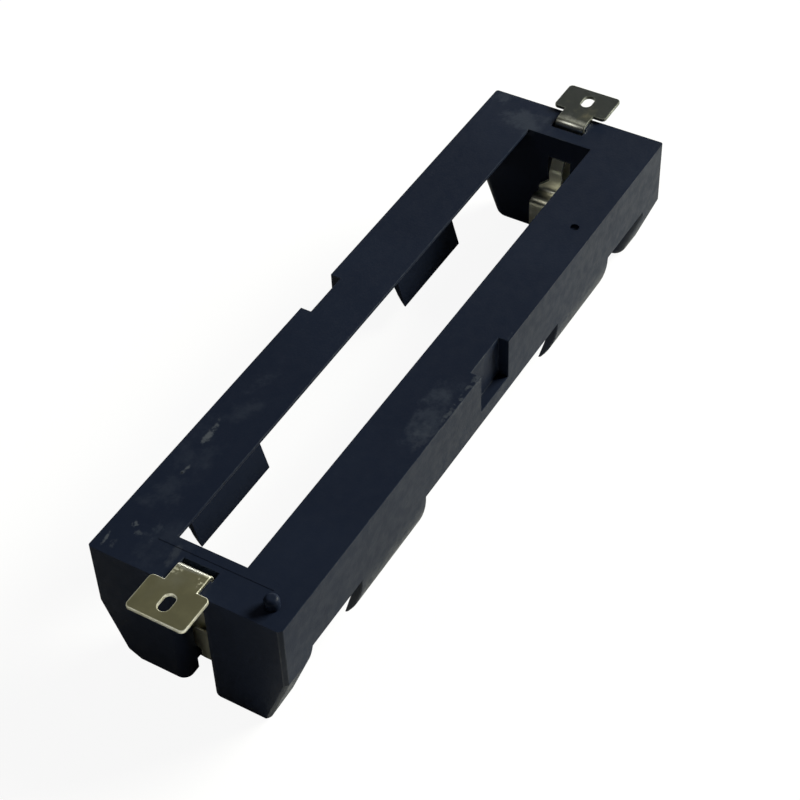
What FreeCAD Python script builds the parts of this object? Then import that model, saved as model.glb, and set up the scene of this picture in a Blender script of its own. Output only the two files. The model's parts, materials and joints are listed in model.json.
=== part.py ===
"""Surface-mount holder for one cylindrical cell, standing on its open side.

The solder side is up, as in use on the underside of a board, and the mouth of the cell bay is down.
X runs along the cell, Y across it and Z up. The origin is in the middle of the footprint, on the
surface that the two end blocks stand on. All sizes are in millimetres.

Depths are measured down from the solder face. Reaches are measured from the middle of the holder
towards either end, so that the two ends share them.
"""
import math
import os

import FreeCAD
import Part
from FreeCAD import Vector

# Cell bay and window
BAY_LENGTH = 67.5
BAY_RADIUS = 9.15
BAY_AXIS_DEPTH = 8.7
WINDOW_WIDTH = 7.6

# Moulded body, outside
END_BLOCK_LENGTH = 4.795
SIDE_WALL = 1.175           # beside the widest part of the bay
FEET_DROP = 5.6             # feet of the end blocks, below the axis of the cell
FLANK_RISE = 1.0            # lower edge of the upright part of the long sides, above the axis
FOOT_INSET = 2.5            # how far the slant below it leans in, each side
UPRIGHT_EDGE_RADIUS = 0.3   # three outer corners of the body
CORNER_BEVEL = 0.35         # the fourth, beside the peg
LEAD_IN_RADIUS = 1.3        # rounded edge of the end blocks, where the cell goes in
FOOT_RADII = (2.2, 0.15)    # lower corners of the end blocks: beside the bay and at the end face
FOOT_CUT_HEIGHT = 0.9       # bevel at one lower corner of the marked end
FOOT_CUT_WIDTH = 1.3

# Side walls and the four retaining arms
WALL_RISE = 2.1             # lower edge of the side walls, where the arms begin to curve, above the axis
ARM_START = 13.65
ARM_LENGTH = 12.05
ARM_DROP = 3.6              # tips of the arms, below the axis
ARM_TIP_INSET = 1.875       # how far the outside of an arm curves in, down to its tip
ARM_LIP_THICKNESS = 0.25    # thickness of an arm at its tip, measured across the holder
ARM_LIP_DROP = 0.2          # where the inside of an arm leaves the round of the bay, below the axis
ARM_EDGE_RADIUS = 0.2       # outer edges at both ends of an arm

# Notches in the middle of both long sides
NOTCH_LENGTH = 5.6
NOTCH_DEPTH = 4.9
NOTCH_INSET = 1.15

# Slots in the end blocks
LEG_SLOT_THICKNESS = 1.1    # along the holder
LEG_SIDE_CLEARANCE = 0.15   # between each edge of the leg and its slot
LEG_CLEARANCE = 0.1         # between the leg and the outer wall of its slot
SPINE_SLOT_WALLS = (-1.5, 1.25)     # sides of the upright slot that joins the bay with the outside
SPINE_SLOT_ROOF = 2.8       # depth of its closed end
MOUTH_RADIUS = 1.0          # rounded edges of its outer mouth

# Small features of the solder face
PEG_END_INSET = 2.245       # from the end of the body to the middle of the peg
PEG_SIDE_INSET = 2.325      # from its side
PEG_RADIUS = 0.75
PEG_HEIGHT = 1.2
PEG_DOME_RADIUS = 0.45
LAND_WIDTH = 1.05           # low raised land beside the window, at the marked end
LAND_SPAN = (-7.2, 5.2)
LAND_HEIGHT = 0.03
DIMPLE_REACH = 21.3
DIMPLE_SIDE_INSET = 2.125
DIMPLE_RADIUS = 0.5
DIMPLE_DEPTH = 0.3

# Contacts, folded from sheet: solder tab and leg
SHEET = 0.4
BEND_RADIUS = 0.3           # inside of the bend between the tab and the leg
LEG_INSET = 2.045           # from the end of the body to the outer face of the leg
TAB_STANDOFF = 0.1          # between the tab and the solder face
NECK_WIDTH = 3.5
NECK_LENGTH = 2.1           # from the outer face of the leg to the shoulders of the tab
TAB_LENGTH = 4.2
TAB_WIDTH = 6.3
TAB_CORNER_RADIUS = 0.5
TAB_HOLE_WIDTH = 1.2        # across the holder
TAB_HOLE_LENGTH = 2.0       # along it, over the round ends
TAB_HOLE_OFFSET = 2.15      # from the shoulders to the middle of the hole
TURN_RISE = 1.3             # lowest run of the strip, through the spine slot, above the feet
LEG_TAPER_RISE = 2.3        # where the leg starts to narrow, above that run
BARB_ROOT_RISE = 1.0        # root of the barb, above the narrowing
BARB_LENGTH = 2.2
BARB_WIDTH = 1.4
BARB_ROOT_WIDTH = 0.5
BARB_LIFT = 0.55            # how far its tip stands out of the leg

# Contacts: sprung leaf
TONGUE_WIDTH = 1.6
TONGUE_STANDOFF = 0.45      # between the end of the bay and the middle of the strip
TONGUE_TIP_LEAN = 0.7       # how far the tip leans back into the spine slot
TONGUE_TIP_LENGTH = 1.25    # height of the leaning tip
TONGUE_TIP_CLEARANCE = 0.15 # between the tip and the closed end of the spine slot
SHELF_RISE = 1.7            # fold between the tongue and the pad, above the axis
PAD_STANDOFF = 3.05         # between the end of the bay and the face that presses on the cell
PAD_WIDTH = 4.0
PAD_DROP = 2.2              # lower end of the pad, below the axis
PAD_TAPER = 1.0
LEAF_RADII = (0.7, 1.2, 1.0, 0.7, 0.7, 1.0)     # bends of the middle line, from the turn to the tongue

MARGIN = 1.0                # how far a cutter runs past the face that it opens

# Sizes that follow from those above
HALF_BAY = BAY_LENGTH / 2
HALF_LENGTH = HALF_BAY + END_BLOCK_LENGTH
HALF_WIDTH = BAY_RADIUS + SIDE_WALL
BODY_HEIGHT = BAY_AXIS_DEPTH + FEET_DROP
FLANK_DEPTH = BAY_AXIS_DEPTH - FLANK_RISE
WALL_DEPTH = BAY_AXIS_DEPTH - WALL_RISE
FOOT_HALF_WIDTH = HALF_WIDTH - FOOT_INSET
ARM_END = ARM_START + ARM_LENGTH
ARM_TIP_HALF_WIDTH = HALF_WIDTH - ARM_TIP_INSET
ARM_DEPTH = BAY_AXIS_DEPTH + ARM_DROP
ARM_LIP_DEPTH = BAY_AXIS_DEPTH + ARM_LIP_DROP
LEG_REACH = HALF_LENGTH - LEG_INSET
LEG_SLOT_WIDTH = NECK_WIDTH + 2 * LEG_SIDE_CLEARANCE
TAB_SHOULDER_REACH = LEG_REACH + NECK_LENGTH
TAB_REACH = TAB_SHOULDER_REACH + TAB_LENGTH
TURN_DEPTH = BODY_HEIGHT - TURN_RISE
LEG_TAPER_DEPTH = TURN_DEPTH - LEG_TAPER_RISE
BARB_ROOT_DEPTH = LEG_TAPER_DEPTH - BARB_ROOT_RISE
TONGUE_REACH = HALF_BAY - TONGUE_STANDOFF
TONGUE_TIP_DEPTH = SPINE_SLOT_ROOF + TONGUE_TIP_CLEARANCE
SHELF_DEPTH = BAY_AXIS_DEPTH - SHELF_RISE
PAD_REACH = HALF_BAY - PAD_STANDOFF
PAD_LOW_DEPTH = BAY_AXIS_DEPTH + PAD_DROP


def level(depth):
    """Height above the feet of a depth below the solder face."""
    return BODY_HEIGHT - depth


def box(x_span, y_span, z_span):
    """Box between two limits on each axis."""
    size = [high - low for low, high in (x_span, y_span, z_span)]
    corner = Vector(x_span[0], y_span[0], z_span[0])
    return Part.makeBox(*size, corner)


def mirrored(shape):
    """The same shape at the other end of the holder."""
    return shape.mirror(Vector(0, 0, 0), Vector(1, 0, 0))


def flank_half_width(depth):
    """Half of the outer width of the end blocks at a depth."""
    if depth <= FLANK_DEPTH:
        return HALF_WIDTH
    slant = FOOT_INSET / (BODY_HEIGHT - FLANK_DEPTH)
    return HALF_WIDTH - slant * (depth - FLANK_DEPTH)


def section_face(corners, x):
    """Closed outline across the holder, from (y, depth) corners."""
    points = [Vector(x, y, level(depth)) for y, depth in corners]
    return Part.Face(Part.makePolygon(points + points[:1]))


def arm_section(x):
    """Outside of the body across a pair of arms, which curve in below the side walls."""
    drop = ARM_DEPTH - WALL_DEPTH
    radius = (drop ** 2 + ARM_TIP_INSET ** 2) / (2 * ARM_TIP_INSET)
    half_turn = math.asin(drop / radius) / 2
    middle_y = HALF_WIDTH - radius * (1 - math.cos(half_turn))
    middle_depth = WALL_DEPTH + radius * math.sin(half_turn)

    def at(y, depth):
        return Vector(x, y, level(depth))

    edges = []
    for side in (-1, 1):
        edges.append(Part.Arc(
            at(side * HALF_WIDTH, WALL_DEPTH),
            at(side * middle_y, middle_depth),
            at(side * ARM_TIP_HALF_WIDTH, ARM_DEPTH),
        ).toShape())
    rim = [(-HALF_WIDTH, WALL_DEPTH), (-HALF_WIDTH, 0), (HALF_WIDTH, 0), (HALF_WIDTH, WALL_DEPTH)]
    edges += Part.makePolygon([at(y, depth) for y, depth in rim]).Edges
    edges += Part.makePolygon([at(-ARM_TIP_HALF_WIDTH, ARM_DEPTH), at(ARM_TIP_HALF_WIDTH, ARM_DEPTH)]).Edges
    return Part.Face(Part.Wire(Part.__sortEdges__(edges)))


def bay_void():
    """Space of the cell: round above, and narrowed by the lips of the arms below."""
    wide = math.sqrt(BAY_RADIUS ** 2 - ARM_LIP_DROP ** 2)
    lip = ARM_TIP_HALF_WIDTH - ARM_LIP_THICKNESS
    start = -HALF_BAY

    def at(y, depth):
        return Vector(start, y, level(depth))

    crown = Part.Arc(at(-wide, ARM_LIP_DEPTH), at(0, BAY_AXIS_DEPTH - BAY_RADIUS), at(wide, ARM_LIP_DEPTH))
    sides = Part.makePolygon([
        at(wide, ARM_LIP_DEPTH),
        at(lip, ARM_DEPTH),
        at(lip, BODY_HEIGHT + MARGIN),
        at(-lip, BODY_HEIGHT + MARGIN),
        at(-lip, ARM_DEPTH),
        at(-wide, ARM_LIP_DEPTH),
    ])
    outline = Part.Wire([crown.toShape()] + sides.Edges)
    return Part.Face(outline).extrude(Vector(BAY_LENGTH, 0, 0))


def edges_where(shape, test):
    """Edges whose middle point passes a test."""
    chosen = []
    for edge in shape.Edges:
        middle = edge.valueAt((edge.FirstParameter + edge.LastParameter) / 2)
        if test(edge, middle):
            chosen.append(edge)
    return chosen


def near(value, target, tolerance=0.01):
    """True where two sizes are the same."""
    return abs(value - target) < tolerance


def trough():
    """Rails, side walls and arms between the end blocks, as one run of the outer section."""
    overlap = LEAD_IN_RADIUS + MARGIN / 2
    reach = HALF_BAY + overlap
    walls = box((-reach, reach), (-HALF_WIDTH, HALF_WIDTH), (level(WALL_DEPTH), BODY_HEIGHT))
    arms = []
    for start in (ARM_START, -ARM_END):
        band = arm_section(start).extrude(Vector(ARM_LENGTH, 0, 0))
        ends = edges_where(band, lambda edge, at: edge.Curve.TypeId == "Part::GeomCircle")
        arms.append(band.makeFillet(ARM_EDGE_RADIUS, ends))
    return walls.multiFuse(arms).removeSplitter()


def outer_corner(block, side):
    """Edges between the end face and the flank of the block at the +X end, on one side."""
    return edges_where(block, lambda edge, at: near(at.x, HALF_LENGTH) and at.y * side > FOOT_HALF_WIDTH + 0.1)


def foot_rounding(side):
    """Cutter that rounds a lower corner of the block at the +X end, most of all at the bay."""
    slant = Vector(0, side * FOOT_INSET, BODY_HEIGHT - FLANK_DEPTH).normalize()
    outwards = Vector(0, side * slant.z, -abs(slant.y))
    tangent = (1 + abs(slant.y)) / slant.z
    wires = []
    for x, radius in ((HALF_BAY - MARGIN, FOOT_RADII[0]), (HALF_LENGTH + MARGIN, FOOT_RADII[1])):
        corner = Vector(x, side * FOOT_HALF_WIDTH, 0)
        low = corner - Vector(0, side * radius / tangent, 0)
        high = corner + slant * (radius / tangent)
        centre = low + Vector(0, 0, radius)
        middle = centre + (corner - centre).normalize() * radius
        outside = Part.makePolygon([
            high,
            high + outwards * MARGIN,
            corner + Vector(0, side * 2 * MARGIN, -MARGIN),
            low - Vector(0, 0, MARGIN),
            low,
        ])
        wires.append(Part.Wire([Part.Arc(low, middle, high).toShape()] + outside.Edges))
    return Part.makeLoft(wires, True, True)


def end_block(corner_bevel=None):
    """Block at the +X end, with its rounded lower corners and the rounded lead-in towards the bay.

    A corner bevel takes the place of the rounding at the -Y side of the end face.
    """
    block = section_face([
        (-HALF_WIDTH, 0),
        (HALF_WIDTH, 0),
        (HALF_WIDTH, FLANK_DEPTH),
        (FOOT_HALF_WIDTH, BODY_HEIGHT),
        (-FOOT_HALF_WIDTH, BODY_HEIGHT),
        (-HALF_WIDTH, FLANK_DEPTH),
    ], HALF_BAY).extrude(Vector(END_BLOCK_LENGTH, 0, 0))
    if corner_bevel:
        block = block.makeChamfer(corner_bevel, outer_corner(block, -1))
        block = block.makeFillet(UPRIGHT_EDGE_RADIUS, outer_corner(block, 1))
    else:
        block = block.makeFillet(UPRIGHT_EDGE_RADIUS, outer_corner(block, -1) + outer_corner(block, 1))
    for side in (-1, 1):
        block = block.cut(foot_rounding(side))
    lead_in = edges_where(block, lambda edge, at: near(at.x, HALF_BAY) and at.z < level(FLANK_DEPTH) - 0.1)
    return block.makeFillet(LEAD_IN_RADIUS, lead_in)


def spine_slot():
    """Upright slot through the +X end block, open below, with a flared outer mouth."""
    low, high = SPINE_SLOT_WALLS
    top = level(SPINE_SLOT_ROOF)
    slot = box((HALF_BAY - MARGIN, HALF_LENGTH + MARGIN), SPINE_SLOT_WALLS, (-MARGIN, top))
    flare = box(
        (HALF_LENGTH - MOUTH_RADIUS, HALF_LENGTH + MARGIN),
        (low - MOUTH_RADIUS, high + MOUTH_RADIUS),
        (-MARGIN, top + MOUTH_RADIUS),
    )
    for wall in (low - MOUTH_RADIUS, high + MOUTH_RADIUS):
        rounding = Part.makeCylinder(
            MOUTH_RADIUS,
            top + MOUTH_RADIUS + 2 * MARGIN,
            Vector(HALF_LENGTH - MOUTH_RADIUS, wall, -2 * MARGIN),
        )
        flare = flare.cut(rounding)
    roof = Part.makeCylinder(
        MOUTH_RADIUS,
        high - low + 4 * MOUTH_RADIUS,
        Vector(HALF_LENGTH - MOUTH_RADIUS, low - 2 * MOUTH_RADIUS, top + MOUTH_RADIUS),
        Vector(0, 1, 0),
    )
    return slot.fuse(flare.cut(roof))


def leg_slot():
    """Slot down through the +X end block, for the leg of a contact."""
    half = LEG_SLOT_WIDTH / 2
    outer = LEG_REACH + LEG_CLEARANCE
    return box((outer - LEG_SLOT_THICKNESS, outer), (-half, half), (-MARGIN, BODY_HEIGHT + MARGIN))


def notches():
    """The two notches in the middle of the long sides."""
    reach = NOTCH_LENGTH / 2
    cuts = []
    for side in (-1, 1):
        inner = side * (HALF_WIDTH - NOTCH_INSET)
        outer = side * (HALF_WIDTH + MARGIN)
        cuts.append(box(
            (-reach, reach),
            sorted((inner, outer)),
            (level(NOTCH_DEPTH), BODY_HEIGHT + MARGIN),
        ))
    return cuts


def locating_peg():
    """Round peg of the solder face, with a domed top."""
    height = PEG_HEIGHT + MARGIN
    foot = Vector(PEG_END_INSET - HALF_LENGTH, PEG_SIDE_INSET - HALF_WIDTH, BODY_HEIGHT - MARGIN)
    peg = Part.makeCylinder(PEG_RADIUS, height, foot)
    top = edges_where(peg, lambda edge, at: near(at.z, BODY_HEIGHT + PEG_HEIGHT))
    return peg.makeFillet(PEG_DOME_RADIUS, top)


def land():
    """Low raised land beside the window at the marked end."""
    return box(
        (-HALF_BAY - LAND_WIDTH, -HALF_BAY),
        LAND_SPAN,
        (BODY_HEIGHT - MARGIN, BODY_HEIGHT + LAND_HEIGHT),
    )


def dimple():
    """Round mark in the solder face."""
    floor = Vector(DIMPLE_REACH, DIMPLE_SIDE_INSET - HALF_WIDTH, level(DIMPLE_DEPTH))
    return Part.makeCylinder(DIMPLE_RADIUS, DIMPLE_DEPTH + MARGIN, floor)


def foot_cut():
    """Bevel at the lower corner of the marked end, on the +Y side."""
    start = FOOT_HALF_WIDTH - FOOT_CUT_WIDTH
    cut_depth = BODY_HEIGHT - FOOT_CUT_HEIGHT
    end = flank_half_width(cut_depth)
    corners = [
        (start, BODY_HEIGHT),
        (end, cut_depth),
        (end + MARGIN, BODY_HEIGHT + MARGIN),
        (start, BODY_HEIGHT + MARGIN),
    ]
    wedge = section_face(corners, -HALF_LENGTH - MARGIN)
    return wedge.extrude(Vector(END_BLOCK_LENGTH + 2 * MARGIN, 0, 0))


def holder_body():
    """The whole moulding."""
    solid = trough().cut(bay_void())
    blocks = [end_block(), mirrored(end_block(CORNER_BEVEL))]
    solid = solid.multiFuse(blocks + [land()])
    window = box(
        (-HALF_BAY, HALF_BAY),
        (-WINDOW_WIDTH / 2, WINDOW_WIDTH / 2),
        (level(BAY_AXIS_DEPTH), BODY_HEIGHT + MARGIN),
    )
    cuts = [window, dimple(), foot_cut()] + notches()
    for cutter in (spine_slot(), leg_slot()):
        cuts += [cutter, mirrored(cutter)]
    for cutter in cuts:
        solid = solid.cut(cutter)
    return solid.fuse(locating_peg()).removeSplitter()


def bent_strip(corners, radii, thickness):
    """Face of a folded strip seen from its side, from the corners of its middle line.

    Each inner corner is rounded by its own radius, measured on the middle line.
    """
    half = thickness / 2
    points = [Vector(x, 0, z) for x, z in corners]
    runs = []
    for start, end in zip(points[:-1], points[1:]):
        runs.append((end - start).normalize())
    left = []
    right = []

    def normal(run):
        return Vector(-run.z, 0, run.x)

    def stand(point, run, side):
        return point + normal(run) * (side * half)

    cursor = {1: stand(points[0], runs[0], 1), -1: stand(points[0], runs[0], -1)}
    for index, radius in enumerate(radii, start=1):
        before = runs[index - 1]
        after = runs[index]
        turn = math.acos(max(-1.0, min(1.0, before.dot(after))))
        reach = radius * math.tan(turn / 2)
        entry = points[index] - before * reach
        leave = points[index] + after * reach
        bend_side = 1 if normal(before).dot(after) > 0 else -1
        centre = entry + normal(before) * (bend_side * radius)
        middle = centre + (points[index] - centre).normalize() * radius
        for side, edges in ((1, left), (-1, right)):
            first = stand(entry, before, side)
            last = stand(leave, after, side)
            away = (middle - centre).normalize()
            crest = centre + away * (radius - bend_side * side * half)
            edges.append(Part.LineSegment(cursor[side], first).toShape())
            edges.append(Part.Arc(first, crest, last).toShape())
            cursor[side] = last
    for side, edges in ((1, left), (-1, right)):
        end = stand(points[-1], runs[-1], side)
        edges.append(Part.LineSegment(cursor[side], end).toShape())
        cursor[side] = end
    caps = [
        Part.LineSegment(cursor[1], cursor[-1]).toShape(),
        Part.LineSegment(stand(points[0], runs[0], -1), stand(points[0], runs[0], 1)).toShape(),
    ]
    return Part.Face(Part.Wire(Part.__sortEdges__(left + right + caps)))


def wide_strip(face, width):
    """Extrude a strip's side view to its width, centred on the holder."""
    return face.translated(Vector(0, -width / 2, 0)).extrude(Vector(0, width, 0))


def front_blank(outline):
    """Cutter that keeps a strip inside an outline of (y, depth) corners, seen from the bay."""
    start = PAD_REACH - MARGIN
    return section_face(outline, start).extrude(Vector(TAB_REACH + MARGIN - start, 0, 0))


def tab_hole(low, height):
    """Cutter for the round-ended hole of the solder tab."""
    middle = TAB_SHOULDER_REACH + TAB_HOLE_OFFSET
    radius = TAB_HOLE_WIDTH / 2
    reach = TAB_HOLE_LENGTH / 2 - radius
    hole = box((middle - reach, middle + reach), (-radius, radius), (low, low + height))
    for end in (middle - reach, middle + reach):
        hole = hole.fuse(Part.makeCylinder(radius, height, Vector(end, 0, low)))
    return hole.removeSplitter()


def solder_tab():
    """Flat T-shaped tab with its hole, outside the body."""
    low = BODY_HEIGHT + TAB_STANDOFF
    start = LEG_REACH + BEND_RADIUS
    neck = box((start, TAB_SHOULDER_REACH + MARGIN), (-NECK_WIDTH / 2, NECK_WIDTH / 2), (low, low + SHEET))
    plate = box((TAB_SHOULDER_REACH, TAB_REACH), (-TAB_WIDTH / 2, TAB_WIDTH / 2), (low, low + SHEET))
    corners = edges_where(plate, lambda edge, at: near(at.z, low + SHEET / 2))
    plate = plate.makeFillet(TAB_CORNER_RADIUS, corners)
    return neck.fuse(plate).cut(tab_hole(low - MARGIN, SHEET + 2 * MARGIN))


def contact_leg():
    """Bend and leg, down to the taper that leads into the turn."""
    middle = LEG_REACH - SHEET / 2
    tab_middle = BODY_HEIGHT + TAB_STANDOFF + SHEET / 2
    start = LEG_REACH + BEND_RADIUS
    side = bent_strip(
        [(start + SHEET, tab_middle), (middle, tab_middle), (middle, level(TURN_DEPTH - MARGIN))],
        [BEND_RADIUS + SHEET / 2],
        SHEET,
    )
    half = NECK_WIDTH / 2
    tongue = TONGUE_WIDTH / 2
    slope = half - tongue
    blank = front_blank([
        (-half, -MARGIN),
        (half, -MARGIN),
        (half, LEG_TAPER_DEPTH),
        (tongue, LEG_TAPER_DEPTH + slope),
        (tongue, BODY_HEIGHT),
        (-tongue, BODY_HEIGHT),
        (-tongue, LEG_TAPER_DEPTH + slope),
        (-half, LEG_TAPER_DEPTH),
    ])
    return wide_strip(side, NECK_WIDTH).common(blank)


def contact_leaf():
    """Sprung part: the turn through the spine slot, the pad that meets the cell, and the tongue."""
    leg_middle = LEG_REACH - SHEET / 2
    pad_middle = PAD_REACH + SHEET / 2
    side = bent_strip(
        [
            (leg_middle, level(TURN_DEPTH - MARGIN)),
            (leg_middle, level(TURN_DEPTH)),
            (TONGUE_REACH, level(TURN_DEPTH)),
            (pad_middle, level(PAD_LOW_DEPTH)),
            (pad_middle, level(SHELF_DEPTH)),
            (TONGUE_REACH, level(SHELF_DEPTH + SHEET)),
            (TONGUE_REACH, level(TONGUE_TIP_DEPTH + TONGUE_TIP_LENGTH)),
            (TONGUE_REACH + TONGUE_TIP_LEAN, level(TONGUE_TIP_DEPTH)),
        ],
        LEAF_RADII,
        SHEET,
    )
    pad = PAD_WIDTH / 2
    tongue = TONGUE_WIDTH / 2
    pad_top = SHELF_DEPTH - SHEET
    blank = front_blank([
        (-tongue, 0),
        (tongue, 0),
        (tongue, pad_top - PAD_TAPER),
        (pad, pad_top),
        (pad, PAD_LOW_DEPTH),
        (tongue, PAD_LOW_DEPTH + PAD_TAPER),
        (tongue, BODY_HEIGHT),
        (-tongue, BODY_HEIGHT),
        (-tongue, PAD_LOW_DEPTH + PAD_TAPER),
        (-pad, PAD_LOW_DEPTH),
        (-pad, pad_top),
        (-tongue, pad_top - PAD_TAPER),
    ])
    return wide_strip(side, PAD_WIDTH).common(blank)


def retaining_barb():
    """Small barb cut from the leg and bent out of it into the mouth of the spine slot."""
    outer = LEG_REACH
    foot = level(BARB_ROOT_DEPTH)
    half = BARB_WIDTH / 2
    root = BARB_ROOT_WIDTH / 2
    side = [
        Vector(outer - SHEET / 2, 0, foot),
        Vector(outer + BARB_LIFT, 0, foot + BARB_LENGTH),
        Vector(outer + BARB_LIFT - SHEET / 2, 0, foot + BARB_LENGTH),
        Vector(outer - SHEET, 0, foot),
    ]
    face = Part.Face(Part.makePolygon(side + side[:1]))
    plate = wide_strip(face, BARB_WIDTH)
    outline = front_blank([
        (-root, BARB_ROOT_DEPTH),
        (root, BARB_ROOT_DEPTH),
        (half, BARB_ROOT_DEPTH - BARB_LENGTH),
        (-half, BARB_ROOT_DEPTH - BARB_LENGTH),
    ])
    return plate.common(outline)


def spring_contact():
    """One whole contact at the +X end."""
    return solder_tab().multiFuse([contact_leg(), contact_leaf(), retaining_barb()]).removeSplitter()


def main():
    """Build each piece and write its STEP file."""
    os.makedirs("parts", exist_ok=True)
    contact = spring_contact()
    pieces = {
        "holder_body": holder_body(),
        "far_contact": contact,
        "near_contact": mirrored(contact),
    }
    for name, shape in pieces.items():
        print(name, "valid", shape.isValid(), "solids", len(shape.Solids), "volume", round(shape.Volume, 2))
        shape.exportStep(f"parts/{name}.step")


main()
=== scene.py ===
"""Studio view of the surface-mount cell holder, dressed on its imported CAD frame.

The moulding and the two folded contacts keep the CAD shapes. This script rounds their sharp
edges, gives each one its finish, and sets up the floor, the lamps and the camera.
"""
import json
import logging
import math
from dataclasses import dataclass, field
from enum import Enum

import bmesh
import bpy
from mathutils import Matrix, Vector

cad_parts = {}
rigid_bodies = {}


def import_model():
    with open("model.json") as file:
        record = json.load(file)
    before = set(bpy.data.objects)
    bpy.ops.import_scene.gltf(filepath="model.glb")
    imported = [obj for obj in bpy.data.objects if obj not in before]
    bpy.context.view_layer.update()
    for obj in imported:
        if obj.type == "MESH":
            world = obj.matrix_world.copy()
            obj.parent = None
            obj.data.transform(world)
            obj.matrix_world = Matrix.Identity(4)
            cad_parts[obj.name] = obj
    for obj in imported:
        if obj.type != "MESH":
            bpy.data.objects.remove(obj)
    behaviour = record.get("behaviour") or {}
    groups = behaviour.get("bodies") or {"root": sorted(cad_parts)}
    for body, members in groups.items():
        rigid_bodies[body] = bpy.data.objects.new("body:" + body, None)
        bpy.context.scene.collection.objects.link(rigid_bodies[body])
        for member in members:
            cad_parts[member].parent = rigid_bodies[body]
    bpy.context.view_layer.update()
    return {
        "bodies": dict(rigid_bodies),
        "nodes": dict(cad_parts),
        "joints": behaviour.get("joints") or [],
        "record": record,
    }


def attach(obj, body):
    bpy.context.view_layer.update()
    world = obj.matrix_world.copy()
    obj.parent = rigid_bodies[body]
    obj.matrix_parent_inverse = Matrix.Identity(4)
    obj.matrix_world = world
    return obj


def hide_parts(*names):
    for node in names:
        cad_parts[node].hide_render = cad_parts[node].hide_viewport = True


LOG = logging.getLogger("holder")

# Metres in a millimetre, and the width of the picture in pixels.
MM = 0.001
IMAGE_SIZE = 800

# Heights of the moulding's solder face and of the tabs' upper faces, in millimetres.
SOLDER_FACE = 14.3
TAB_FACE = 14.8

# Grain and levels of a patch that is plain inside instead of mottled.
BROAD = 6.0
PLAIN = (0.0, 0.1)


class Rays(Enum):
    """Outputs of the Light Path node that the floor's white ground is shown to."""

    CAMERA = "Is Camera Ray"
    GLOSSY = "Is Glossy Ray"
    TRANSMISSION = "Is Transmission Ray"


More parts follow.
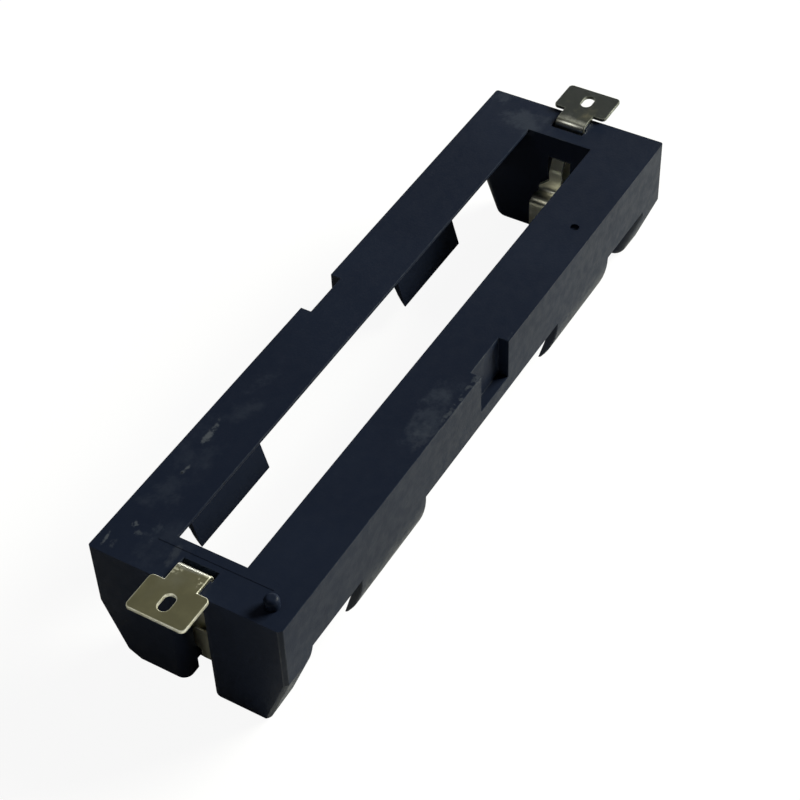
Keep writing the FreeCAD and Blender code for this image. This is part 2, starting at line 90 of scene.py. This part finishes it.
class NodeBench:
    """Short names for the node calls that the finishes share.

    Attributes:
        RAGGEDNESS: How far the noise carries a patch's rim, as a share of its half size.
        RIM: Distance from the middle at which a patch ends, as a share of its half size.
        CORE: Distance from the middle within which a patch is full, as the same share.
        MIDDLE: Mean level of a noise.
    """

    RAGGEDNESS = 2.6
    RIM = 1.0
    CORE = 0.25
    MIDDLE = 0.5

    def __init__(self, name: str) -> None:
        """Make an empty node material.

        Args:
            name: Name of the material.
        """
        self.material = bpy.data.materials.new(name)
        self.material.use_nodes = True
        self.nodes = self.material.node_tree.nodes
        self.links = self.material.node_tree.links
        self.nodes.clear()
        self.output = self.nodes.new("ShaderNodeOutputMaterial")

    def add(self, kind: str, **values: object) -> bpy.types.Node:
        """Add a node and set its properties or input sockets.

        Args:
            kind: Node type without its ShaderNode prefix.
            values: Property names, or socket names with spaces written as underscores.

        Returns:
            The new node.
        """
        node = self.nodes.new("ShaderNode" + kind)
        for key, value in values.items():
            if hasattr(node, key):
                setattr(node, key, value)
            else:
                node.inputs[key.replace("_", " ")].default_value = value
        return node

    def wire(self, source: bpy.types.NodeSocket, target: bpy.types.NodeSocket) -> None:
        """Link two sockets."""
        self.links.new(source, target)

    def place(self) -> bpy.types.NodeSocket:
        """Position on the object, in metres."""
        return self.add("TexCoord").outputs["Object"]

    def shifted(self, centre: Vector, scale: Vector, turn: float = 0.0) -> bpy.types.NodeSocket:
        """Position measured from a point, turned about Z and divided by a size along each axis.

        Args:
            centre: Point that becomes the origin, in metres.
            scale: Size along each axis that becomes one unit, in metres.
            turn: Angle of the pattern about Z, in radians.

        Returns:
            The new position.
        """
        moved = self.add("VectorMath", operation="SUBTRACT")
        self.wire(self.place(), moved.inputs[0])
        moved.inputs[1].default_value = centre
        mapping = self.add("Mapping", vector_type="TEXTURE")
        mapping.inputs["Rotation"].default_value = (0.0, 0.0, turn)
        mapping.inputs["Scale"].default_value = scale
        self.wire(moved.outputs[0], mapping.inputs["Vector"])
        return mapping.outputs[0]

    def noise(self, place: bpy.types.NodeSocket, scale: float, detail: float = 4.0,
              rough: float = 0.55) -> bpy.types.NodeSocket:
        """Fractal noise.

        Args:
            place: Position that the noise is read at.
            scale: Cells of the noise in one unit of the position.
            detail: Number of finer layers.
            rough: Strength of each finer layer beside the one before it.

        Returns:
            The noise's level, from 0 to 1.
        """
        node = self.add("TexNoise", Scale=scale, Detail=detail, Roughness=rough)
        self.wire(place, node.inputs["Vector"])
        return node.outputs[0]

    def ramp(self, value: bpy.types.NodeSocket, low: float, high: float,
             start: float = 0.0, end: float = 1.0) -> bpy.types.NodeSocket:
        """Smooth step between two levels of a value.

        Args:
            value: Value that the step follows.
            low: Level at which the step begins.
            high: Level at which it ends.
            start: Result at the first level.
            end: Result at the second level.

        Returns:
            The stepped value.
        """
        node = self.add("MapRange", interpolation_type="SMOOTHSTEP")
        self.wire(value, node.inputs["Value"])
        node.inputs["From Min"].default_value = low
        node.inputs["From Max"].default_value = high
        node.inputs["To Min"].default_value = start
        node.inputs["To Max"].default_value = end
        return node.outputs[0]

    def maths(self, operation: str, first: bpy.types.NodeSocket,
              second: bpy.types.NodeSocket | float) -> bpy.types.NodeSocket:
        """One arithmetic step on two values.

        Args:
            operation: Blender's name of the step.
            first: First value.
            second: Second value, as a socket or a plain number.

        Returns:
            The result.
        """
        node = self.add("Math", operation=operation)
        self.wire(first, node.inputs[0])
        if isinstance(second, float):
            node.inputs[1].default_value = second
        else:
            self.wire(second, node.inputs[1])
        return node.outputs[0]

    def mix(self, factor: bpy.types.NodeSocket, first: object, second: object) -> bpy.types.NodeSocket:
        """Blend two colours, given as sockets or as (r, g, b).

        Args:
            factor: Share of the second colour.
            first: Colour where the factor is 0.
            second: Colour where the factor is 1.

        Returns:
            The blended colour.
        """
        node = self.add("Mix", data_type="RGBA")
        self.wire(factor, node.inputs[0])
        for socket, colour in ((node.inputs[6], first), (node.inputs[7], second)):
            if isinstance(colour, bpy.types.NodeSocket):
                self.wire(colour, socket)
            else:
                socket.default_value = (*colour, 1.0)
        return node.outputs[2]

    def spot(self, centre: Vector, reach: Vector, turn: float,
             noise: bpy.types.NodeSocket) -> bpy.types.NodeSocket:
        """Soft oval patch with a ragged rim.

        Args:
            centre: Middle of the patch, in metres.
            reach: Half size along each axis, in metres.
            turn: Angle about Z, in radians.
            noise: Noise that carries the rim outwards where it is high.

        Returns:
            1 at the middle of the patch and 0 at its rim.
        """
        length = self.add("VectorMath", operation="LENGTH")
        self.wire(self.shifted(centre, reach, turn), length.inputs[0])
        above = self.maths("SUBTRACT", noise, self.MIDDLE)
        ragged = self.maths("MULTIPLY", above, self.RAGGEDNESS)
        distance = self.maths("SUBTRACT", length.outputs["Value"], ragged)
        return self.ramp(distance, self.RIM, self.CORE)


@dataclass(frozen=True)
class SmudgeAndHighlight:
    """One rubbed, dusty or tarnished patch, or a patch of painted highlight, glint or reflection.

    Attributes:
        centre: Middle of the patch, in millimetres.
        reach: Half size along X, Y and Z, in millimetres.
        turn: Angle about Z, in degrees.
        strength: How strongly it shows.
        grain: Size of its own mottling, in millimetres.
        levels: Levels of the mottling's noise at which the patch is absent and full.
        detail: Number of finer layers of the noise.
        rough: Strength of each finer layer.
    """

    centre: tuple[float, float, float]
    reach: tuple[float, float, float]
    turn: float
    strength: float
    grain: float = 1.6
    levels: tuple[float, float] = (0.42, 0.68)
    detail: float = 5.0
    rough: float = 0.65

    def mask(self, bench: NodeBench) -> bpy.types.NodeSocket:
        """Add the nodes of the patch.

        Args:
            bench: Material that the patch belongs to.

        Returns:
            How strongly the patch shows at each point, from 0 to 1.
        """
        noise = bench.noise(bench.place(), 1.0 / (self.grain * MM), self.detail, self.rough)
        centre = Vector(self.centre) * MM
        reach = Vector(self.reach) * MM
        oval = bench.spot(centre, reach, math.radians(self.turn), noise)
        mottle = bench.ramp(noise, *self.levels)
        return bench.maths("MULTIPLY", bench.maths("MULTIPLY", oval, mottle), self.strength)


def strongest(bench: NodeBench, smudges: tuple[SmudgeAndHighlight, ...]) -> bpy.types.NodeSocket:
    """Lay several patches over each other.

    Args:
        bench: Material that the patches belong to.
        smudges: The patches.

    Returns:
        How strongly the strongest of them shows at each point.
    """
    total = smudges[0].mask(bench)
    for smudge in smudges[1:]:
        total = bench.maths("MAXIMUM", total, smudge.mask(bench))
    return total


@dataclass(frozen=True)
class MouldedPlastic:
    """Blue-black glass-filled nylon with a fine eroded surface, rubbed in places.

    Attributes:
        base: Usual colour.
        deep: Colour of the darker clouds.
        rubbed: Colour of the rubbed patches.
        scraped: Colour of the scrapes, where the fibres show.
        nicked: Colour at the bottom of a nick.
        smudges: Rubbed patches.
        scrapes: Short pale scrapes and dents.
        nicks: Small dark nicks.
        cloud_scale: Cells of the clouds in a metre.
        cloud_levels: Levels of the clouds' noise for the deep and the usual colour.
        sheen_scale: Cells of the roughness pattern in a metre.
        sheen_levels: Levels of its noise for the least and the most roughness.
        roughness: Least and most roughness.
        gloss: Specular level.
        grain_scale: Cells of the eroded grain in a metre.
        wave_scale: Cells of the shallow waves in a metre.
        wave_share: Height of the waves beside the grain's.
        relief: Height of the grain, in millimetres.
        relief_strength: How strongly the relief turns the light.
    """

    base: tuple[float, float, float] = (0.0098, 0.0144, 0.0300)
    deep: tuple[float, float, float] = (0.0076, 0.0114, 0.0248)
    rubbed: tuple[float, float, float] = (0.030, 0.037, 0.056)
    scraped: tuple[float, float, float] = (0.058, 0.066, 0.084)
    nicked: tuple[float, float, float] = (0.002, 0.003, 0.006)
    smudges: tuple[SmudgeAndHighlight, ...] = (
        SmudgeAndHighlight((-23.0, 8.0, SOLDER_FACE), (12.0, 2.6, 1.5), 0.0, 0.35, 3.0, (0.4, 0.7)),
        SmudgeAndHighlight((-35.6, 3.0, SOLDER_FACE), (3.2, 6.0, 1.5), 0.0, 0.3, 3.0, (0.4, 0.7)),
        SmudgeAndHighlight((-34.5, 6.0, SOLDER_FACE), (1.6, 1.2, 1.0), 20.0, 0.5, 0.9),
        SmudgeAndHighlight((-10.2, -8.6, SOLDER_FACE), (6.0, 1.7, 1.2), 4.0, 0.75, 2.6, (0.1, 0.7)),
        SmudgeAndHighlight((35.0, 4.6, SOLDER_FACE), (2.4, 3.4, 1.0), 0.0, 0.75, 2.4, (0.2, 0.6)),
        SmudgeAndHighlight((37.6, 9.2, SOLDER_FACE), (1.4, 1.2, 1.0), 0.0, 0.6, 1.0, (0.2, 0.6)),
    )
    scrapes: tuple[SmudgeAndHighlight, ...] = (
        SmudgeAndHighlight((-21.6, 8.5, SOLDER_FACE), (1.9, 0.42, 0.5), 6.0, 1.0, 0.7, (0.25, 0.55)),
        SmudgeAndHighlight((-26.8, 7.85, SOLDER_FACE), (1.2, 0.26, 0.5), -4.0, 0.9, 0.8, (0.2, 0.5)),
        SmudgeAndHighlight((-34.4, 8.0, SOLDER_FACE), (0.42, 0.36, 0.5), 20.0, 0.8, 0.3, (0.3, 0.6)),
        SmudgeAndHighlight((-35.1, 7.1, SOLDER_FACE), (0.55, 0.4, 0.5), -25.0, 0.5, 0.4, (0.3, 0.6)),
        SmudgeAndHighlight((-36.9, 9.4, SOLDER_FACE), (0.9, 0.2, 0.5), 8.0, 0.9, 0.5, (0.2, 0.5)),
        SmudgeAndHighlight((-37.3, 8.5, SOLDER_FACE), (0.6, 0.35, 0.5), 0.0, 0.35, 0.4, (0.3, 0.6)),
        SmudgeAndHighlight((-35.6, 2.9, SOLDER_FACE), (1.7, 0.55, 0.5), 4.0, 0.3, 1.0, (0.2, 0.5)),
        SmudgeAndHighlight((-12.5, -9.3, SOLDER_FACE), (2.6, 1.0, 0.6), 8.0, 0.2, 0.8, (0.35, 0.6)),
        SmudgeAndHighlight((-4.5, -10.05, 14.2), (7.5, 0.4, 0.6), 0.0, 0.6, 0.8, (0.46, 0.58)),
    )
    nicks: tuple[SmudgeAndHighlight, ...] = (
        SmudgeAndHighlight((-26.3, 3.8, SOLDER_FACE), (0.32, 0.2, 0.5), 30.0, 1.0, 0.8, (0.0, 0.3)),
        SmudgeAndHighlight((-27.2, 7.9, SOLDER_FACE), (0.22, 0.18, 0.5), 0.0, 0.8, 0.8, (0.0, 0.3)),
    )
    cloud_scale: float = 55.0
    cloud_levels: tuple[float, float] = (0.35, 0.7)
    sheen_scale: float = 900.0
    sheen_levels: tuple[float, float] = (0.3, 0.7)
    roughness: tuple[float, float] = (0.36, 0.46)
    gloss: float = 0.07
    grain_scale: float = 3800.0
    wave_scale: float = 260.0
    wave_share: float = 2.5
    relief: float = 0.03
    relief_strength: float = 0.35

    def material(self) -> bpy.types.Material:
        """Build the node material.

        Returns:
            The finish of the moulding.
        """
        bench = NodeBench("moulded_plastic")
        place = bench.place()
        clouds = bench.noise(place, self.cloud_scale, detail=5.0)
        colour = bench.mix(bench.ramp(clouds, *self.cloud_levels), self.deep, self.base)
        colour = bench.mix(strongest(bench, self.smudges), colour, self.rubbed)
        colour = bench.mix(strongest(bench, self.scrapes), colour, self.scraped)
        colour = bench.mix(strongest(bench, self.nicks), colour, self.nicked)
        shader = bench.add("BsdfPrincipled")
        bench.wire(colour, shader.inputs["Base Color"])
        sheen = bench.noise(place, self.sheen_scale, detail=3.0)
        bench.wire(bench.ramp(sheen, *self.sheen_levels, *self.roughness), shader.inputs["Roughness"])
        shader.inputs["Specular IOR Level"].default_value = self.gloss
        grain = bench.noise(place, self.grain_scale, detail=2.0)
        waves = bench.noise(place, self.wave_scale, detail=3.0)
        height = bench.maths("ADD", bench.maths("MULTIPLY", waves, self.wave_share), grain)
        bump = bench.add("Bump", Strength=self.relief_strength, Distance=self.relief * MM)
        bench.wire(height, bump.inputs["Height"])
        bench.wire(bump.outputs[0], shader.inputs["Normal"])
        bench.wire(shader.outputs[0], bench.output.inputs["Surface"])
        return bench.material


@dataclass(frozen=True)
class PlatedStrip:
    """Satin nickel plate with a yellowish tone and fine rolling marks along the strip, with highlights
    painted along each bend, reflections painted on its inner runs and a painted glint beside the near
    bend.

    Attributes:
        base: Usual colour.
        dull: Colour of the duller clouds.
        tarnish: Colour of the greyer far tab.
        glint_paint: Pale colour painted as the glint of small scratches beside the near bend.
        painted_highlight: Colour painted on each bend as a highlight and on the inner runs as a
            reflection, whiter than the plate.
        smudges: Tarnished patches.
        painted_highlight_places: Places of the painted highlight on each bend and of the painted
            reflection on the runs inside the blocks.
        painted_scratch_glints: Small scratches beside the near bend, painted pale as glint patches.
        cloud_scale: Cells of the clouds in a metre.
        cloud_levels: Levels of the clouds' noise for the dull and the usual colour.
        streak_size: Size of a rolling mark along each axis, in millimetres.
        streak_scale: Cells of the streaks' noise in that size.
        streak_levels: Levels of the streaks' noise for the least and the most roughness.
        roughness: Least and most roughness.
        glint_paint_metallic: How metallic the painted glint is.
        relief: Height of the rolling marks, in millimetres.
        relief_strength: How strongly they turn the light.
    """

    base: tuple[float, float, float] = (0.62, 0.585, 0.37)
    dull: tuple[float, float, float] = (0.52, 0.49, 0.31)
    tarnish: tuple[float, float, float] = (0.140, 0.152, 0.148)
    glint_paint: tuple[float, float, float] = (0.80, 0.78, 0.66)
    painted_highlight: tuple[float, float, float] = (0.95, 0.95, 0.86)
    smudges: tuple[SmudgeAndHighlight, ...] = (
        SmudgeAndHighlight((44.0, 0.0, TAB_FACE), (24.0, 60.0, 3.0), 0.0, 1.0, BROAD, PLAIN),
    )
    painted_highlight_places: tuple[SmudgeAndHighlight, ...] = (
        # Painted highlights along the near and the far bend.
        SmudgeAndHighlight((-36.35, 0.0, 14.6), (0.8, 6.0, 1.0), 0.0, 1.0, BROAD, PLAIN),
        SmudgeAndHighlight((36.3, 0.0, 14.3), (1.5, 6.0, 1.6), 0.0, 1.0, BROAD, PLAIN),
        # Painted reflections on the runs inside the far and the near block.
        SmudgeAndHighlight((33.0, 0.0, 7.0), (7.0, 9.0, 12.0), 0.0, 0.6, BROAD, PLAIN),
        SmudgeAndHighlight((-37.0, 0.0, 6.0), (4.0, 9.0, 11.0), 0.0, 0.3, BROAD, PLAIN),
    )
    painted_scratch_glints: tuple[SmudgeAndHighlight, ...] = (
        # Small scratches beside the near bend, painted pale and less metallic as a glint.
        SmudgeAndHighlight((-37.1, 1.5, TAB_FACE), (0.7, 0.7, 0.8), 0.0, 0.7, 0.35, (0.46, 0.6)),
        SmudgeAndHighlight((-37.4, -1.3, TAB_FACE), (0.8, 0.6, 0.8), 0.0, 0.6, 0.4, (0.48, 0.62)),
    )
    cloud_scale: float = 420.0
    cloud_levels: tuple[float, float] = (0.35, 0.7)
    streak_size: tuple[float, float, float] = (6.0, 0.5, 6.0)
    streak_scale: float = 9.0
    streak_levels: tuple[float, float] = (0.3, 0.7)
    roughness: tuple[float, float] = (0.3, 0.36)
    glint_paint_metallic: float = 0.4
    relief: float = 0.01
    relief_strength: float = 0.08

    def material(self) -> bpy.types.Material:
        """Build the node material.

        Returns:
            The finish of the contacts.
        """
        bench = NodeBench("plated_strip")
        stretched = bench.shifted(Vector((0.0, 0.0, 0.0)), Vector(self.streak_size) * MM)
        streaks = bench.noise(stretched, self.streak_scale)
        clouds = bench.noise(bench.place(), self.cloud_scale)
        colour = bench.mix(bench.ramp(clouds, *self.cloud_levels), self.dull, self.base)
        colour = bench.mix(strongest(bench, self.smudges), colour, self.tarnish)
        # Painted highlight on each bend, and painted reflection on the inner runs.
        colour = bench.mix(strongest(bench, self.painted_highlight_places), colour, self.painted_highlight)
        # Painted glint of the small scratches: paler and less metallic.
        painted_scratch_glints = strongest(bench, self.painted_scratch_glints)
        colour = bench.mix(painted_scratch_glints, colour, self.glint_paint)
        shader = bench.add("BsdfPrincipled")
        bench.wire(colour, shader.inputs["Base Color"])
        metallic = bench.ramp(painted_scratch_glints, 0.0, 1.0, 1.0, self.glint_paint_metallic)
        bench.wire(metallic, shader.inputs["Metallic"])
        rough = bench.ramp(streaks, *self.streak_levels, *self.roughness)
        bench.wire(rough, shader.inputs["Roughness"])
        bump = bench.add("Bump", Strength=self.relief_strength, Distance=self.relief * MM)
        bench.wire(streaks, bump.inputs["Height"])
        bench.wire(bump.outputs[0], shader.inputs["Normal"])
        bench.wire(shader.outputs[0], bench.output.inputs["Surface"])
        return bench.material


@dataclass(frozen=True)
class PatchedRim:
    """Edges with lighter patches than the faces beside them: rubbed wear on the moulding, a dull tone
    on the far contact and a painted highlight on the near contact.

    Attributes:
        name: Name of the material.
        lighter_patch: Colour of the lighter patches; on the moulding they are wear, on the near
            contact a painted highlight.
        darker_rest: Colour of the rest of the rim; on the near contact this is a painted highlight
            too.
        grain: Size of the lighter lengths, in millimetres.
        levels: Levels of the noise at which the rim has the darker and the lighter colour.
        metallic: 1 for metal and 0 for plastic.
        roughness: Roughness of the rim.
        gloss: Specular level of the rim.
        detail: Number of finer layers of the noise.
        rough: Strength of each finer layer.
    """

    name: str
    lighter_patch: tuple[float, float, float]
    darker_rest: tuple[float, float, float]
    grain: float
    levels: tuple[float, float]
    metallic: float
    roughness: float
    gloss: float
    detail: float = 4.0
    rough: float = 0.6

    def material(self) -> bpy.types.Material:
        """Build the node material.

        Returns:
            The finish of the rim.
        """
        bench = NodeBench(self.name)
        noise = bench.noise(bench.place(), 1.0 / (self.grain * MM), self.detail, self.rough)
        lighter_patch = bench.ramp(noise, *self.levels)
        shader = bench.add("BsdfPrincipled")
        bench.wire(bench.mix(lighter_patch, self.darker_rest, self.lighter_patch), shader.inputs["Base Color"])
        shader.inputs["Metallic"].default_value = self.metallic
        shader.inputs["Roughness"].default_value = self.roughness
        shader.inputs["Specular IOR Level"].default_value = self.gloss
        bench.wire(shader.outputs[0], bench.output.inputs["Surface"])
        return bench.material


@dataclass(frozen=True)
class PaleGround:
    """White studio ground that still takes the holder's shadow.

    Attributes:
        diffuse: Level of the ground for the light that it throws on the holder.
        seen: Level of the part that the camera sees shaded.
        shown: White that is added for the camera.
        mirrored: White that is added for what mirrors the ground.
    """

    diffuse: float = 0.85
    seen: float = 0.1
    shown: float = 0.92
    mirrored: float = 0.01

    def material(self) -> bpy.types.Material:
        """Build the node material.

        Returns:
            The finish of the floor.
        """
        bench = NodeBench("pale_ground")
        rays = bench.add("LightPath")
        level = bench.mix(rays.outputs[Rays.CAMERA.value], (self.diffuse,) * 3, (self.seen,) * 3)
        body = bench.add("BsdfDiffuse")
        bench.wire(level, body.inputs["Color"])
        seen = bench.maths("MULTIPLY", rays.outputs[Rays.CAMERA.value], self.shown)
        glossy = rays.outputs[Rays.GLOSSY.value]
        other = bench.maths("MAXIMUM", glossy, rays.outputs[Rays.TRANSMISSION.value])
        strength = bench.maths("ADD", seen, bench.maths("MULTIPLY", other, self.mirrored))
        glow = bench.add("Emission", Color=(1.0, 1.0, 1.0, 1.0))
        bench.wire(strength, glow.inputs["Strength"])
        both = bench.add("AddShader")
        bench.wire(body.outputs[0], both.inputs[0])
        bench.wire(glow.outputs[0], both.inputs[1])
        bench.wire(both.outputs[0], bench.output.inputs["Surface"])
        return bench.material


@dataclass
class SoftenedNode:
    """Copy of a CAD node whose sharp edges are rounded, shown in the node's place.

    Attributes:
        node: Name of the CAD node.
        slot: The record's material slot; not used.
        edge: Width of the rounding, in millimetres.
        segments: Facets across the rounding.
        clamp: Whether the rounding gets narrower where short edges leave little room.
        room: Least length of the edges that meet a rounded one, as a multiple of the rounding.
        merge: Distance under which two corners are one, in millimetres.
        flat_angle: Angle under which two faces are one, in degrees.
        sharp_angle: Angle over which an edge is rounded, in degrees.
        shading_angle: Angle over which the shading breaks at an edge, in degrees.
    """

    node: str
    slot: str
    edge: float
    segments: int = 2
    clamp: bool = True
    room: float = 0.0
    merge: float = 0.002
    flat_angle: float = 0.6
    sharp_angle: float = 35.0
    shading_angle: float = 32.0

    def build(self, nodes: dict[str, bpy.types.Object], finish: bpy.types.Material,
              rim: bpy.types.Material) -> bpy.types.Object:
        """Copy, merge and round the node, and dress it.

        Args:
            nodes: CAD nodes by name.
            finish: Material of the faces.
            rim: Material of the rounded edges.

        Returns:
            The new piece.
        """
        mesh = nodes[self.node].data.copy()
        mesh.name = self.node + "_shape"
        mesh.materials.clear()
        mesh.materials.append(finish)
        mesh.materials.append(rim)
        self.soften(mesh)
        piece = bpy.data.objects.new(self.node + "_finished", mesh)
        bpy.context.scene.collection.objects.link(piece)
        even = piece.modifiers.new("even_shading", "WEIGHTED_NORMAL")
        even.keep_sharp = True
        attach(piece, "root")
        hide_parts(self.node)
        return piece

    def has_room(self, edge: bmesh.types.BMEdge) -> bool:
        """Whether no edge that meets this one is too short for the rounding."""
        lengths = [meeting.calc_length() for corner in edge.verts for meeting in corner.link_edges]
        return min(lengths) > self.room * self.edge * MM

    def soften(self, mesh: bpy.types.Mesh) -> None:
        """Merge the loose triangles, join the flat ones and bevel what is left sharp.

        Args:
            mesh: Mesh to change.
        """
        work = bmesh.new()
        work.from_mesh(mesh)
        bmesh.ops.remove_doubles(work, verts=work.verts, dist=self.merge * MM)
        bmesh.ops.dissolve_limit(
            work,
            angle_limit=math.radians(self.flat_angle),
            use_dissolve_boundaries=False,
            verts=work.verts,
            edges=work.edges,
        )
        sharp = [edge for edge in work.edges if len(edge.link_faces) == 2
                 and edge.calc_face_angle(0.0) > math.radians(self.sharp_angle)
                 and self.has_room(edge)]
        for face in work.faces:
            face.material_index = 0
        rounded = bmesh.ops.bevel(
            work,
            geom=sharp,
            offset=self.edge * MM,
            offset_type="OFFSET",
            segments=self.segments,
            profile=0.5,
            affect="EDGES",
            clamp_overlap=self.clamp,
            material=-1,
        )
        for face in rounded["faces"]:
            face.material_index = 1
        for face in work.faces:
            face.smooth = True
        for edge in work.edges:
            edge.smooth = edge.calc_face_angle(0.0) < math.radians(self.shading_angle)
        work.to_mesh(mesh)
        work.free()


@dataclass
class FoldedContact(SoftenedNode):
    """Contact whose solder tab's upright outline, at its ends and in its hole, also takes the rim's
    finish: a painted highlight on the near contact, a dull tone on the far one.

    Attributes:
        tab_start: Distance from the middle of the holder at which the outline starts, in millimetres.
        tab_low: Height just below the tab's lower face, in millimetres.
        tilt: Upward part of the normal under which a face counts as upright.
    """

    tab_start: float = 36.9
    tab_low: float = 14.35
    tilt: float = 0.3

    def soften(self, mesh: bpy.types.Mesh) -> None:
        """Round the edges and give the tab's outline the rim's finish.

        Args:
            mesh: Mesh to change.
        """
        super().soften(mesh)
        for face in mesh.polygons:
            centre = face.center / MM
            upright = abs(face.normal.z) < self.tilt
            if upright and abs(centre.x) > self.tab_start and centre.z > self.tab_low:
                face.material_index = 1


@dataclass
class Lamp:
    """One soft rectangular lamp.

    Attributes:
        name: Name of the lamp.
        place: Position, in metres.
        size: Width and height, in metres.
        power: Power, in watts.
        colour: Colour of the light.
    """

    name: str
    place: tuple[float, float, float]
    size: tuple[float, float]
    power: float
    colour: tuple[float, float, float] = (1.0, 1.0, 1.0)

    def build(self, target: Vector) -> bpy.types.Object:
        """Hang the lamp so that it faces a point.

        Args:
            target: Point that the lamp faces.

        Returns:
            The lamp's object.
        """
        data = bpy.data.lights.new(self.name, "AREA")
        data.shape = "RECTANGLE"
        data.size, data.size_y = self.size
        data.energy = self.power
        data.color = self.colour
        lamp = bpy.data.objects.new(self.name, data)
        lamp.location = self.place
        lamp.rotation_euler = (target - lamp.location).to_track_quat("-Z", "Y").to_euler()
        bpy.context.scene.collection.objects.link(lamp)
        return lamp


@dataclass
class Studio:
    """Floor, lamps, world and camera.

    Attributes:
        target: Point that the lamps face, in metres.
        floor_half: Half the width of the floor, in metres.
        ambient: Level of the world's light.
        ambient_colour: Its colour.
        lamps: The lamps.
        camera_place: Position of the camera, in metres.
        camera_right: Direction to the right of the picture.
        camera_ahead: Direction that the camera looks in.
        focal_pixels: Focal length, in pixels of the picture.
        sensor_width: Width of the sensor, in millimetres.
        clip: Nearest and farthest distance that is drawn, in metres.
    """

    target: Vector = field(default_factory=lambda: Vector((0.0, 0.0, 0.007)))
    floor_half: float = 3.0
    ambient: float = 0.015
    ambient_colour: tuple[float, float, float] = (0.8, 0.9, 1.0)
    lamps: tuple[Lamp, ...] = (
        Lamp("key_from_far_end", (0.90, -0.52, 0.54), (0.6, 0.4), 28.5, (0.99, 1.0, 0.86)),
        Lamp("sky_above", (0.35, 0.25, 0.50), (0.5, 0.5), 0.075, (1.0, 1.0, 0.84)),
        Lamp("low_strip", (0.80, 0.37, 0.17), (0.5, 0.12), 0.9, (1.0, 1.0, 0.98)),
        Lamp("over_the_near_end", (-0.19, 0.185, 0.42), (0.2, 0.2), 0.2, (1.0, 1.0, 0.95)),
    )
    camera_place: tuple[float, float, float] = (-0.119531, -0.074362, 0.146174)
    camera_right: tuple[float, float, float] = (0.50593, -0.862038, -0.030413)
    camera_ahead: tuple[float, float, float] = (0.59472, 0.374146, -0.711564)
    focal_pixels: float = 1938.093
    sensor_width: float = 36.0
    clip: tuple[float, float] = (0.01, 20.0)

    def build(self) -> None:
        """Set up everything around the holder."""
        self.lay_floor()
        self.light()
        self.aim_camera()
        bpy.context.scene.view_settings.view_transform = "Standard"

    def lay_floor(self) -> None:
        """Lay the wide pale floor under the holder."""
        mesh = bpy.data.meshes.new("studio_floor")
        work = bmesh.new()
        bmesh.ops.create_grid(work, x_segments=1, y_segments=1, size=self.floor_half)
        work.to_mesh(mesh)
        work.free()
        mesh.materials.append(PaleGround().material())
        floor = bpy.data.objects.new("studio_floor", mesh)
        bpy.context.scene.collection.objects.link(floor)

    def light(self) -> None:
        """Hang the lamps and set the world's plain level."""
        for lamp in self.lamps:
            lamp.build(self.target)
        world = bpy.data.worlds.new("studio_air")
        world.use_nodes = True
        background = world.node_tree.nodes["Background"]
        background.inputs["Color"].default_value = (*self.ambient_colour, 1.0)
        background.inputs["Strength"].default_value = self.ambient
        bpy.context.scene.world = world

    def aim_camera(self) -> None:
        """Place the camera that was solved from the photograph."""
        data = bpy.data.cameras.new("camera")
        data.sensor_fit = "HORIZONTAL"
        data.sensor_width = self.sensor_width
        data.lens = self.focal_pixels / IMAGE_SIZE * self.sensor_width
        data.clip_start, data.clip_end = self.clip
        right = Vector(self.camera_right).normalized()
        ahead = Vector(self.camera_ahead).normalized()
        up = right.cross(ahead).normalized()
        frame = Matrix((right, up, -ahead)).transposed().to_4x4()
        frame.translation = Vector(self.camera_place)
        camera = bpy.data.objects.new("camera", data)
        camera.matrix_world = frame
        bpy.context.scene.collection.objects.link(camera)
        bpy.context.scene.camera = camera


@dataclass
class CellHolder:
    """The whole holder: one moulding and two contacts.

    Attributes:
        moulding: The cradle.
        contacts: The near and the far contact.
        moulding_rim: Finish of the cradle's edges.
        contact_rims: Finishes of the contacts' edges, in the order of the contacts; the near one is a
            painted highlight.
    """

    moulding: SoftenedNode = field(
        default_factory=lambda: SoftenedNode("holder_body", "body_plastic", 0.07, room=3.0)
    )
    contacts: tuple[SoftenedNode, ...] = (
        FoldedContact("near_contact", "contact_metal", 0.09, clamp=False),
        FoldedContact("far_contact", "contact_metal", 0.09, clamp=False),
    )
    moulding_rim: PatchedRim = PatchedRim(
        name="rubbed_edge",
        lighter_patch=(0.030, 0.036, 0.050),
        darker_rest=(0.011, 0.016, 0.031),
        grain=1.5,
        levels=(0.45, 0.7),
        metallic=0.0,
        roughness=0.4,
        gloss=0.1,
    )
    contact_rims: tuple[PatchedRim, ...] = (
        # Near contact's rim: both colours are a painted highlight, paler than the plate.
        PatchedRim(
            name="painted_highlight_edge",
            lighter_patch=(0.97, 0.95, 0.84),
            darker_rest=(0.80, 0.77, 0.60),
            grain=0.8,
            levels=(0.4, 0.6),
            metallic=0.65,
            roughness=0.35,
            gloss=0.5,
        ),
        PatchedRim(
            name="dull_edge",
            lighter_patch=(0.30, 0.31, 0.28),
            darker_rest=(0.15, 0.16, 0.14),
            grain=0.8,
            levels=(0.45, 0.65),
            metallic=0.6,
            roughness=0.4,
            gloss=0.5,
        ),
    )

    def build(self, nodes: dict[str, bpy.types.Object]) -> list[bpy.types.Object]:
        """Dress the three pieces, and the CAD nodes under them in the same plain finishes.

        Args:
            nodes: CAD nodes by name.

        Returns:
            The new pieces.
        """
        plastic = MouldedPlastic().material()
        strip = PlatedStrip().material()
        pieces = [self.moulding.build(nodes, plastic, self.moulding_rim.material())]
        for contact, rim in zip(self.contacts, self.contact_rims):
            pieces.append(contact.build(nodes, strip, rim.material()))
        for name, node in nodes.items():
            node.data.materials.clear()
            node.data.materials.append(plastic if name == self.moulding.node else strip)
        return pieces


def main() -> None:
    """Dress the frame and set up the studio."""
    logging.basicConfig(level=logging.INFO)
    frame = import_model()
    for piece in CellHolder().build(frame["nodes"]):
        LOG.info("%s: %d faces", piece.name, len(piece.data.polygons))
    Studio().build()


if __name__ == "__main__":
    main()
